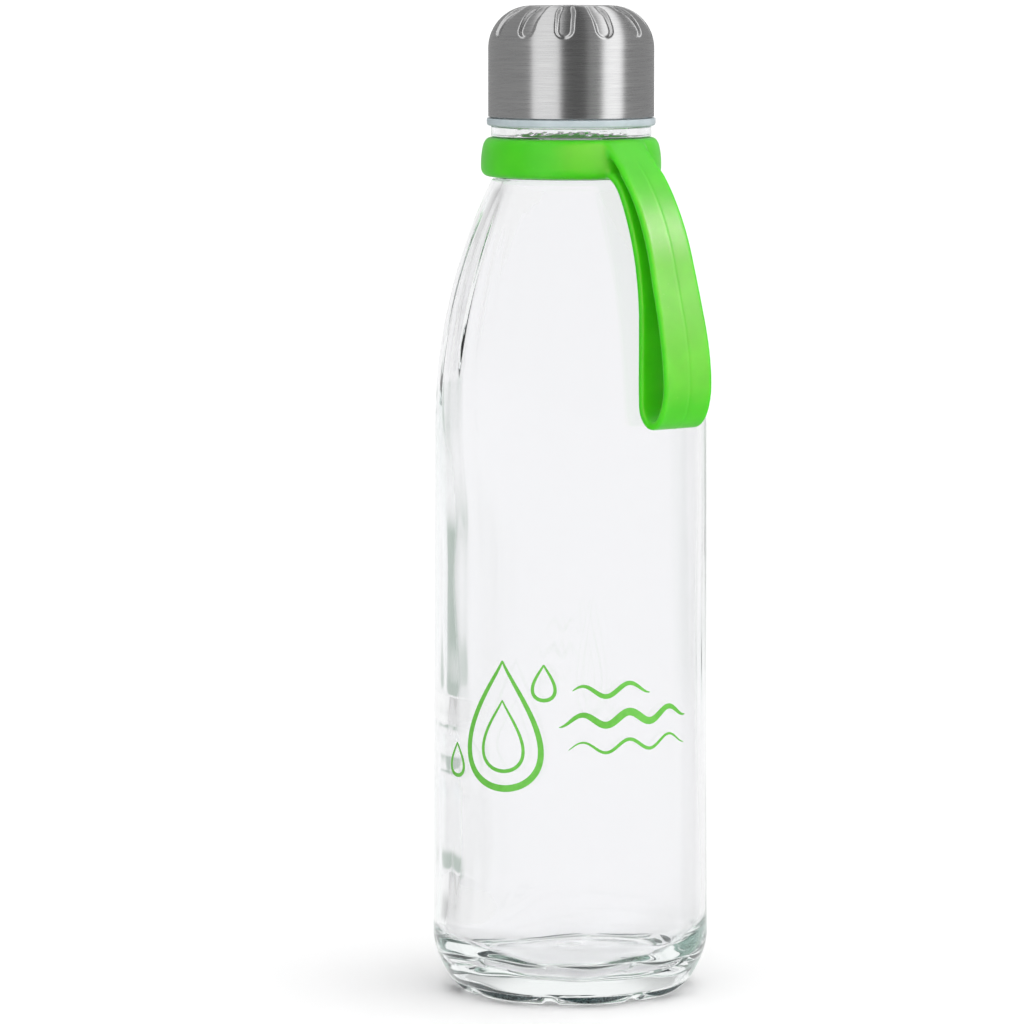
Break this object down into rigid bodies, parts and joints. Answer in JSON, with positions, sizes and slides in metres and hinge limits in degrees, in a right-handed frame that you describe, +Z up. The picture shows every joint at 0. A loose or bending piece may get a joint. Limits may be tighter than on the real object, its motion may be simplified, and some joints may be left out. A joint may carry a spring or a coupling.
{
  "type": "water bottle",
  "caption": "Clear glass water bottle with a fluted steel screw cap over a moulded liner, and a silicone collar in its neck groove that carries a swinging finger loop.",
  "frame": {"origin": "centre of the flat face that the bottle stands on, on the bottle's axis", "axes": "+Z up along the bottle's axis towards the cap; -Y is the printed front; the finger loop hangs 49 degrees from +X towards -Y"},
  "size_m": [0.0731, 0.0771, 0.26],
  "materials": {
    "clear_glass": "clear, fire-polished, faintly green where it is thick",
    "cap_steel": "brushed round the cap",
    "liner_plastic": "natural translucent moulding",
    "seal_silicone": "milky, satin",
    "strap_silicone": "satin silicone moulding",
    "print_ink": "screen-printed ink on the glass"
  },
  "bodies": {
    "bottle": {"glass_bottle": "clear_glass"},
    "seal": {"seal_ring": "seal_silicone"},
    "cap": {"cap_shell": "cap_steel", "cap_insert": "liner_plastic"},
    "strap_ring": {"strap_ring": "strap_silicone"},
    "strap_loop": {"strap_loop": "strap_silicone"}
  },
  "joints": [
    {"name": "cap_lift", "type": "slide", "parent": "bottle", "child": "seal", "axis": [0, 0, 1], "range_m": [0, 0.0251]},
    {"name": "cap_turn", "type": "hinge", "parent": "seal", "child": "cap", "pos_m": [0, 0, 0.24], "axis": [0, 0, 1], "range_deg": [0, 1800]},
    {"name": "strap_turn", "type": "hinge", "parent": "bottle", "child": "strap_ring", "pos_m": [0, 0, 0.2201], "axis": [0, 0, 1], "continuous": true},
    {"name": "loop_swing", "type": "hinge", "parent": "strap_ring", "child": "strap_loop", "pos_m": [0.01814, -0.02087, 0.2183], "axis": [-0.7547, -0.6561, 0], "range_deg": [0, 150]}
  ],
  "couplings": [
    {"joint": "cap_lift", "follows": "cap_turn", "m_per_rad": 0.00079577}
  ]
}
